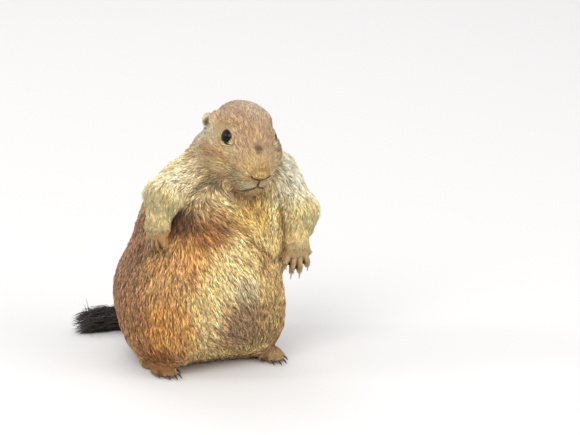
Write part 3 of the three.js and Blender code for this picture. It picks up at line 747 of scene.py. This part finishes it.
def hornMaterial(name, low, high):
    material, nodes, links, shader = newMaterial(name, 0.35, 0.5)
    place = nodes.new("ShaderNodeTexCoord")
    grain = nodes.new("ShaderNodeTexNoise")
    grain.inputs["Scale"].default_value = 500
    ramp = nodes.new("ShaderNodeValToRGB")
    ramp.color_ramp.elements[0].color = (*low, 1)
    ramp.color_ramp.elements[1].color = (*high, 1)
    links.new(place.outputs["Object"], grain.inputs["Vector"])
    links.new(grain.outputs["Fac"], ramp.inputs["Fac"])
    links.new(ramp.outputs["Color"], shader.inputs["Base Color"])
    return material


def darkMaterial(name, low, high, roughness, coatWeight=0.0):
    material, nodes, links, shader = newMaterial(name, roughness, 0.5, coatWeight)
    place = nodes.new("ShaderNodeTexCoord")
    grain = nodes.new("ShaderNodeTexNoise")
    grain.inputs["Scale"].default_value = 900
    ramp = nodes.new("ShaderNodeValToRGB")
    ramp.color_ramp.elements[0].color = (*low, 1)
    ramp.color_ramp.elements[1].color = (*high, 1)
    bump = nodes.new("ShaderNodeBump")
    bump.inputs["Strength"].default_value = 0.25
    bump.inputs["Distance"].default_value = 0.0002
    links.new(place.outputs["Object"], grain.inputs["Vector"])
    links.new(grain.outputs["Fac"], ramp.inputs["Fac"])
    links.new(ramp.outputs["Color"], shader.inputs["Base Color"])
    links.new(grain.outputs["Fac"], bump.inputs["Height"])
    links.new(bump.outputs["Normal"], shader.inputs["Normal"])
    return material


# the coat: thin three-sided tufts that lie along the body, the long ones bent once

coat = {
    "bent": 98000, "short": 124000, "strand": 24000,
    "inPiece": {"bent": 19500, "short": 49000},
    "shortZones": ("fore", "hand", "foot", "crown", "cheek", "muzzle", "lid", "nose", "ear"),
    "sunk": 0.35,               # how far a root lies under the skin
    "gather": 0.55,             # how far the tips of a strand close up
    "furthest": 2.0,            # most that a tip moves for that, before the share
    "varied": 0.3,              # share by which length and width vary
    "stray": 14.0,              # degrees a tuft may turn from the lie
    "patch": 0.003,             # width of a tuft on the skin's own unwrap
    "darkRoot": 0.45, "middle": 1.05, "paleTip": 1.6,
    "mottle": {"bent": 0.26, "short": 0.36},   # how much the tone varies from tuft to tuft
    "strandMottle": 0.26,       # and from strand to strand
    "skinTone": 0.7,
    "warmth": (1.04, 0.99, 0.9), 
    "blurred": 50,              # rounds that soften the tones from zone to zone
    "ticked": {"crown": 0.24, "cheek": 0.16, "neck": 0.12, "arm": 0.1, "back": 0.26, "thigh": 0.18,
               "belly": 0.08, "fore": 0.06, "hand": 0.05, "foot": 0.08, "muzzle": 0.08, "lid": 0.02,
               "nose": 0.04, "ear": 0.08, "tail": 0.3},
}


def paintSkin(body, tones):
    layer = body.data.color_attributes.new("coat", "FLOAT_COLOR", "POINT")
    rows = np.ones((len(tones), 4), np.float32)
    rows[:, :3] = tones * coat["skinTone"]
    layer.data.foreach_set("color", rows.ravel())


def unwrapSkin(body):
    layer = body.data.uv_layers.new(name="OFBake")
    body.data.uv_layers.active = layer
    bpy.context.view_layer.objects.active = body
    body.select_set(True)
    bpy.ops.object.mode_set(mode="EDIT")
    bpy.ops.mesh.select_all(action="SELECT")
    bpy.ops.uv.smart_project(angle_limit=math.radians(75), island_margin=0.004)
    bpy.ops.object.mode_set(mode="OBJECT")
    body.select_set(False)


# random places on the skin for one kind of tuft, as close together as their zones ask
def sampleRoots(body, kind, weights, flow, tones):
    mesh = body.data
    mesh.calc_loop_triangles()
    count = len(mesh.loop_triangles)
    corners = np.empty(count * 3, np.int32)
    mesh.loop_triangles.foreach_get("vertices", corners)
    corners = corners.reshape(-1, 3)
    loops = np.empty(count * 3, np.int32)
    mesh.loop_triangles.foreach_get("loops", loops)
    loops = loops.reshape(-1, 3)
    uv = np.empty(len(mesh.loops) * 2, np.float32)
    mesh.uv_layers["OFBake"].data.foreach_get("uv", uv)
    uv = uv.reshape(-1, 2)
    points, normals = pointsOf(mesh), normalsOf(mesh)
    short = weights[:, [zoneNames.index(z) for z in coat["shortZones"]]].sum(1)
    density = field(weights, "dense") * {"short": short, "bent": 1 - short, "strand": 1}[kind]
    for side in sides.values():
        density = np.where(aroundEye(points, side)[2] < 1.08, 0, density)
    for groove in grooves.values():
        density = np.where(grooveDistance(inHead(points), groove) < 0.75, 0, density)
    density = np.where(gapDistance(points) < 0.8, 0, density)
    density = np.where((points[:, 2] < 0.0005) & (normals[:, 2] < -0.8), 0, density)
    a, b, c = (points[corners[:, i]] for i in range(3))
    area = np.linalg.norm(np.cross(b - a, c - a), axis=1) / 2
    share = area * np.maximum(density[corners].mean(1), 0)
    total = coat[kind] // 1
    print(kind, "tufts wanted by density", int(share.sum() / mm ** 2), "made", total)
    chosen = rng.choice(count, total, p=share / share.sum())
    chosen = chosen[np.argsort(weights[corners[chosen, 0]].argmax(1), kind="stable")]
    r = rng.random((total, 2))
    flip = r.sum(1) > 1
    r[flip] = 1 - r[flip]
    bary = np.stack([1 - r.sum(1), r[:, 0], r[:, 1]], axis=1)

    def mixed(values):
        return (values[corners[chosen]] * bary[:, :, None]).sum(1)

    return {
        "place": mixed(points), "normal": unit(mixed(normals)), "flow": unit(mixed(flow)),
        "zones": mixed(weights), "tone": mixed(tones),
        "uv": (uv[loops[chosen]] * bary[:, :, None]).sum(1),
    }


# each tuft belongs to the strand whose long middle line it is nearest to
def gatherStrands(roots, strands):
    tree = KDTree(len(strands["place"]))
    for i, place in enumerate(strands["place"]):
        tree.insert(place, i)
    tree.balance()
    near = np.array([[hit[1] for hit in tree.find_n(place, 8)] for place in roots["place"]])
    away = roots["place"][:, None] - strands["place"][near]
    ahead = strands["flow"][near]
    along = (away * ahead).sum(2)
    across = away - ahead * along[:, :, None]
    best = ((along / 3) ** 2 + (across ** 2).sum(2)).argmin(1)
    row = np.arange(len(best))
    offLine = across[row, best]
    far = np.linalg.norm(offLine, axis=1, keepdims=True) / (coat["furthest"] * mm)
    return near[row, best], offLine / np.maximum(far, 1)


# slow swings of the lie
def swing(points, size, seed):
    turn = np.random.default_rng(seed)
    value = np.zeros(len(points))
    for _ in range(7):
        wave = unit(turn.normal(size=3)) * turn.uniform(0.6, 1.6) * 2 * math.pi / size
        value += np.sin(points / mm @ wave + turn.uniform(0, 2 * math.pi))
    return value / 2.6


def makeTufts(roots, kind, strands):
    n = len(roots["place"])
    strand, offLine = gatherStrands(roots, strands)
    zoneOf = roots["zones"]
    length = field(zoneOf, "long") * mm * (1 + coat["varied"] * rng.uniform(-1, 1, n))
    width = field(zoneOf, "wide") * mm * (1 + coat["varied"] * rng.uniform(-1, 1, n))
    lift = np.radians(field(zoneOf, "lift")) * rng.uniform(0.6, 1.5, n)
    normal, flow = roots["normal"], roots["flow"]
    side = unit(np.cross(flow, normal))
    turn = np.radians(coat["stray"]) * (rng.normal(0, 0.3, n) + strands["turn"][strand]
                                       + 0.6 * swing(roots["place"], 9, 3))
    lift *= strands["raised"][strand]
    ahead = flow * np.cos(turn)[:, None] + side * np.sin(turn)[:, None]
    side = unit(np.cross(ahead, normal))
    rising = ahead * np.cos(lift)[:, None] + normal * np.sin(lift)[:, None]
    settling = unit(ahead - normal * 0.1 + side * rng.uniform(-0.1, 0.1, n)[:, None] + np.array((0, 0, -0.05)))
    start = roots["place"] - normal * coat["sunk"] * mm
    middle = start + rising * (length * 0.5)[:, None] - offLine * coat["gather"] * 0.4
    tip = middle + settling * (length * 0.5)[:, None] - offLine * coat["gather"] * 0.6
    thick = normal * (width * 0.42)[:, None]
    half = side * (width * 0.5)[:, None]
    if kind == "bent":
        corners = [start - half * 0.7, start + half * 0.7, start + thick * 0.7,
                   middle - half, middle + half, middle + thick, tip]
        ramp = [coat["darkRoot"]] * 3 + [coat["middle"]] * 3 + [coat["paleTip"]]
        across, along = [-1, 1, 0, -0.8, 0.8, 0, 0], [-1, -1, -1, 0, 0, 0, 1]
    else:
        corners = [start - half, start + half, start + thick, tip]
        ramp = [(coat["darkRoot"] + coat["middle"]) / 2] * 3 + [coat["paleTip"]]
        across, along = [-1, 1, 0, 0], [-1, -1, -1, 1]
    places = np.stack(corners, axis=1)
    places[:, :, 2] = np.maximum(places[:, :, 2], 0.0002)
    shade = np.exp(np.clip(rng.normal(0, coat["mottle"][kind], n), -0.9, 0.6)) * strands["shade"][strand]
    ticked = zoneOf @ np.array([coat["ticked"][z] for z in zoneNames])
    shade = np.where(rng.random(n) < ticked, shade * rng.uniform(0.35, 0.7, n), shade)
    tones = np.clip(roots["tone"][:, None] * (shade[:, None] * np.array(ramp))[:, :, None], 0, 0.95)
    patch = np.stack([across, along], axis=1) * coat["patch"] / 2
    return places, tones, roots["uv"][:, None] + patch[None]


tuftFaces = {
    "bent": np.array([(0, 1, 4), (0, 4, 3), (1, 2, 5), (1, 5, 4), (2, 0, 3), (2, 3, 5),
                      (3, 4, 6), (4, 5, 6), (5, 3, 6), (0, 2, 1)]),
    "short": np.array([(0, 1, 3), (1, 2, 3), (2, 0, 3), (0, 2, 1)]),
}


def tuftPiece(name, kind, places, tones, uv, material):
    n, around = places.shape[:2]
    a, b, c = (places[0][tuftFaces[kind][:, i]] for i in range(3))
    outwards = np.einsum("ij,ij->", a - places[0].mean(0), np.cross(b - a, c - a)) > 0
    order = tuftFaces[kind] if outwards else tuftFaces[kind][:, ::-1]
    faces = (order[None] + np.arange(n)[:, None, None] * around).reshape(-1)
    mesh = bpy.data.meshes.new(name)
    mesh.vertices.add(n * around)
    mesh.vertices.foreach_set("co", places.astype(np.float32).ravel())
    mesh.loops.add(len(faces))
    mesh.loops.foreach_set("vertex_index", faces.astype(np.int32))
    mesh.polygons.add(len(faces) // 3)
    mesh.polygons.foreach_set("loop_start", np.arange(0, len(faces), 3, dtype=np.int32))
    mesh.update(calc_edges=True)
    layer = mesh.uv_layers.new(name="OFBake")
    layer.data.foreach_set("uv", uv.reshape(-1, 2)[faces].astype(np.float32).ravel())
    painted = mesh.color_attributes.new("coat", "FLOAT_COLOR", "POINT")
    rows = np.ones((n * around, 4), np.float32)
    rows[:, :3] = tones.reshape(-1, 3)
    painted.data.foreach_set("color", rows.ravel())
    made = bpy.data.objects.new(name, mesh)
    bpy.context.scene.collection.objects.link(made)
    shadeSmooth(made)
    mesh.materials.append(material)
    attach(made, "root")
    return made


print("coat")
edges = edgesOf(body.data)
normals = normalsOf(body.data)
points = pointsOf(body.data)
tones = coatTone(points, spread(zones, edges, coat["blurred"]))
flow = lieOfCoat(points, normals, zones, edges)
paintSkin(body, tones)
unwrapSkin(body)
body.data.materials.append(skinMaterial())
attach(body, "root")
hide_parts("tail", *[n for n in nodeZones if not n.startswith("eye")])
hair = furMaterial()
strands = sampleRoots(body, "strand", zones, flow, tones)
strandCount = len(strands["place"])
strands["turn"] = rng.normal(0, 0.7, strandCount)
strands["raised"] = rng.uniform(0.7, 1.4, strandCount)
strands["shade"] = np.exp(np.clip(rng.normal(0, coat["strandMottle"], strandCount), -0.6, 0.4))
for kind, inPiece in coat["inPiece"].items():
    roots = sampleRoots(body, kind, zones, flow, tones)
    places, tuftTones, tuftUv = makeTufts(roots, kind, strands)
    for start in range(0, len(places), inPiece):
        part = slice(start, start + inPiece)
        name = f"coat_{kind}_{start // inPiece + 1}"
        tuftPiece(name, kind, places[part], tuftTones[part], tuftUv[part], hair)


# eyes

eyeLook = {"rings": 32, "pupil": 0.55, "iris": (0.006, 0.004, 0.003), "dark": (0.0015, 0.0015, 0.002)}
rims = {"thick": 0.5, "steps": 32}


def eyeMaterial():
    material, nodes, links, shader = newMaterial("wetEye", 0.03, 0.16)
    place = nodes.new("ShaderNodeTexCoord")
    grain = nodes.new("ShaderNodeTexNoise")
    grain.inputs["Scale"].default_value = 700
    ramp = nodes.new("ShaderNodeValToRGB")
    ramp.color_ramp.elements[0].color = (*eyeLook["dark"], 1)
    ramp.color_ramp.elements[1].color = (*eyeLook["iris"], 1)
    links.new(place.outputs["Object"], grain.inputs["Vector"])
    links.new(grain.outputs["Fac"], ramp.inputs["Fac"])
    links.new(ramp.outputs["Color"], shader.inputs["Base Color"])
    return material


def makeEye(name, side, material, rimMaterial):
    bm = bmesh.new()
    bmesh.ops.create_uvsphere(
        bm, u_segments=eyeLook["rings"] * 2, v_segments=eyeLook["rings"], radius=eyeballs["radius"] * mm,
        matrix=eyeMatrix(side))
    bmesh.ops.recalc_face_normals(bm, faces=bm.faces)
    ball = addObject(f"eyeball_{name}", bm)
    shadeSmooth(ball)
    ball.data.materials.append(material)
    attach(ball, "root")
    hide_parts(f"eye_{name}")
    bm = bmesh.new()
    steps = rims["steps"]
    middle = eyeMatrix(side).translation
    route = [opening(side, i / steps, 0.25) for i in range(steps)]
    tube(bm, route, [rims["thick"] * mm] * steps, closed=True, sides=8, out=lambda p: p - middle)
    rim = addObject(f"lid_rim_{name}", bm)
    shadeSmooth(rim)
    rim.data.materials.append(rimMaterial)
    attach(rim, "root")


print("eyes")
wet = eyeMaterial()
rimSkin = darkMaterial("lidSkin", (0.012, 0.009, 0.008), (0.05, 0.035, 0.026), 0.45)
for name, side in sides.items():
    makeEye(name, side, wet, rimSkin)


# dark lines of the nostrils, the cleft under them and the mouth, laid in the grooves of the skin as painted shade

lineArt = {
    "nostril":  dict(thick=(0.35, 0.75), steps=12, out=0.1),
    "philtrum": dict(thick=(0.5, 0.4), steps=8, out=0.0),
    "mouth":    dict(thick=(0.5, 0.9), steps=20, out=0.05),
}


def makeFaceLines(tree, material):
    for name, line in lineArt.items():
        bm = bmesh.new()
        for side in (-1, 1):
            places = []
            for step in alongRoute(grooves[name]["route"], line["steps"]):
                place, normal = tree.find_nearest(onHead(*groovePlace(side, *step)))[:2]
                places.append(place + normal * line["out"] * mm)
            first, last = line["thick"]
            count = line["steps"]
            radii = [(first + (last - first) * i / (count - 1)) * mm for i in range(count)]
            radii[-1] *= 0.4
            tube(bm, places, radii, sides=8, out=lambda p: Vector((0, 0, 1)))
        made = addObject(f"{name}_line", bm)
        shadeSmooth(made)
        made.data.materials.append(material)
        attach(made, "root")


print("face lines")
skinTree = BVHTree.FromObject(body, bpy.context.evaluated_depsgraph_get())
makeFaceLines(skinTree, darkMaterial("grooveShadeSkin", (0.008, 0.005, 0.004), (0.03, 0.017, 0.01), 0.5))


# claws

print("claws")
darkHorn = hornMaterial("darkClaw", (0.012, 0.009, 0.007), (0.06, 0.042, 0.03))
paleHorn = hornMaterial("paleClaw", (0.16, 0.12, 0.085), (0.42, 0.34, 0.26))
pawHorn = {"hand_right": darkHorn, "hand_left": paleHorn, "foot_right": darkHorn, "foot_left": darkHorn}
for paw, horn in pawHorn.items():
    bm = bmesh.new()
    named = [f"{paw}_claw_{i}" for i in range(1, 6)]
    for node in named:
        bm.from_mesh(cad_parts[node].data)
    bmesh.ops.remove_doubles(bm, verts=bm.verts, dist=1e-6)
    claws = addObject(f"claws_{paw}", bm)
    rounder = claws.modifiers.new("rounder", "SUBSURF")
    rounder.levels = rounder.render_levels = 2
    finished(claws)
    shadeSmooth(claws)
    claws.data.materials.clear()
    claws.data.materials.append(horn)
    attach(claws, "root")
    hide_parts(*named)


# whiskers

whiskers = {"rows": 3, "inRow": 4, "long": (16, 26), "thick": 0.14, "steps": 6}


def makeWhiskers(name, side, tree, material):
    bm = bmesh.new()
    for row in range(whiskers["rows"]):
        for place in range(whiskers["inRow"]):
            x, y, z = side * (7.5 + place * 1.1), -29.5 + place * 2.6, -18 - row * 2.4
            root, normal = tree.find_nearest(onHead(x, y, z))[:2]
            back = (head.to_3x3() @ Vector((side * 0.75, 0.35 + 0.12 * place, 0.18 - row * 0.2))).normalized()
            long = (whiskers["long"][0] + (whiskers["long"][1] - whiskers["long"][0]) * rng.random()) * mm
            droop = Vector((0, 0, -1)) * long * 0.16
            steps = whiskers["steps"]
            route = [root - normal * 0.6 * mm + back * long * t + droop * t * t
                     for t in (i / (steps - 1) for i in range(steps))]
            radii = [whiskers["thick"] * mm * (1 - 0.85 * i / (steps - 1)) for i in range(steps)]
            tube(bm, route, radii, sides=5)
    made = addObject(f"whiskers_{name}", bm)
    shadeSmooth(made)
    made.data.materials.append(material)
    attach(made, "root")


print("whiskers")
bristle = darkMaterial("whisker", (0.01, 0.008, 0.007), (0.06, 0.045, 0.035), 0.5)
for name, side in sides.items():
    makeWhiskers(name, side, skinTree, bristle)


# floor, light and camera

studio = {
    "floor": 24.0, "floorTone": (0.6, 0.59, 0.575), "world": (0.97, 0.97, 1.0), "worldStrength": 1.0,
    "key":  dict(size=1.6, power=50.0, at=(-1.5, -1.5, 1.9)),
    "fill": dict(size=2.0, power=30.0, at=(1.3, -1.9, 0.9)),
    "back": dict(size=1.2, power=14.0, at=(0.4, 1.6, 1.8)),
    "glint": dict(size=0.5, power=11.0, at=(-2.0, 0.7, 1.3)),
}
view = {"azimuth": -27.0, "elevation": 14.0, "away": 3.0, "across": 0.464, "pixel": 0.0008,
        "ground": (196, 354), "middle": (290, 217.5), "origin": (-9.49, -13.05, 0)}


def lookAt(obj, place, target):
    obj.location = place
    obj.rotation_mode = "QUATERNION"
    obj.rotation_quaternion = (target - place).to_track_quat("-Z", "Y")


def makeStudio():
    bm = bmesh.new()
    bmesh.ops.create_grid(bm, x_segments=1, y_segments=1, size=studio["floor"] / 2)
    floor = addObject("floor", bm)
    material, nodes, links, shader = newMaterial("paleFloor", 0.9, 0.2)
    shader.inputs["Base Color"].default_value = (*studio["floorTone"], 1)
    floor.data.materials.append(material)
    world = bpy.data.worlds.new("softRoom")
    bpy.context.scene.world = world
    world.use_nodes = True
    sky = world.node_tree.nodes["Background"]
    sky.inputs["Color"].default_value = (*studio["world"], 1)
    sky.inputs["Strength"].default_value = studio["worldStrength"]
    for name in ("key", "fill", "back", "glint"):
        light = bpy.data.lights.new(name, "AREA")
        light.size = studio[name]["size"]
        light.energy = studio[name]["power"]
        lamp = bpy.data.objects.new(name, light)
        bpy.context.scene.collection.objects.link(lamp)
        lookAt(lamp, Vector(studio[name]["at"]), Vector((0, 0, 0.1)))
    bpy.context.scene.view_settings.view_transform = "Standard"


def makeCamera():
    azimuth, elevation = math.radians(view["azimuth"]), math.radians(view["elevation"])
    right = Vector((math.cos(azimuth), math.sin(azimuth), 0))
    up = Vector((-math.sin(azimuth) * math.sin(elevation), math.cos(azimuth) * math.sin(elevation),
                 math.cos(elevation)))
    towards = Vector((math.sin(azimuth) * math.cos(elevation), -math.cos(azimuth) * math.cos(elevation),
                      math.sin(elevation)))
    target = (Vector(view["origin"]) * mm + right * (view["middle"][0] - view["ground"][0]) * view["pixel"]
              + up * (view["ground"][1] - view["middle"][1]) * view["pixel"])
    lens = bpy.data.cameras.new("camera")
    lens.sensor_width = 36
    lens.lens = 36 * view["away"] / view["across"]
    lens.clip_end = 20
    camera = bpy.data.objects.new("camera", lens)
    bpy.context.scene.collection.objects.link(camera)
    lookAt(camera, target + towards * view["away"], target)
    bpy.context.scene.camera = camera


print("studio")
makeStudio()
makeCamera()
